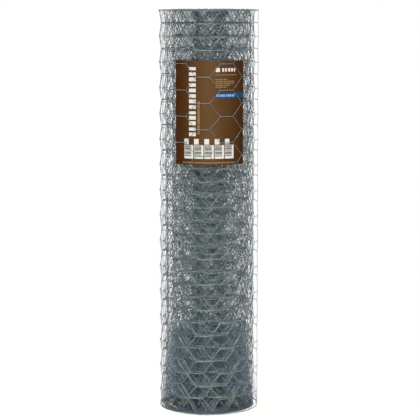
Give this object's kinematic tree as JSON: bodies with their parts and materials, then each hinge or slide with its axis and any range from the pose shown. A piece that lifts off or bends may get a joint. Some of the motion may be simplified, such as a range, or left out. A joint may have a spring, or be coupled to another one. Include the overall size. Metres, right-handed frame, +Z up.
{
  "type": "roll of hexagonal wire netting",
  "caption": "Standing roll of galvanised hexagonal wire netting with an open bore, and a printed card label under the wires of its loose last turn.",
  "frame": {"origin": "middle of the lower end of the roll, on the floor that it stands on", "axes": "+Z up along the bore, -Y towards the front, which the label faces, and +X to the right as seen from the front"},
  "size_m": [0.2989, 0.299, 1.2],
  "materials": {
    "zinc_wire": "dull galvanised, slightly blue grey",
    "printed_card": "glossy brown print with plain white, blue and tan blocks"
  },
  "bodies": {
    "root": {"netting_roll": "zinc_wire", "label": "printed_card"}
  },
  "joints": []
}
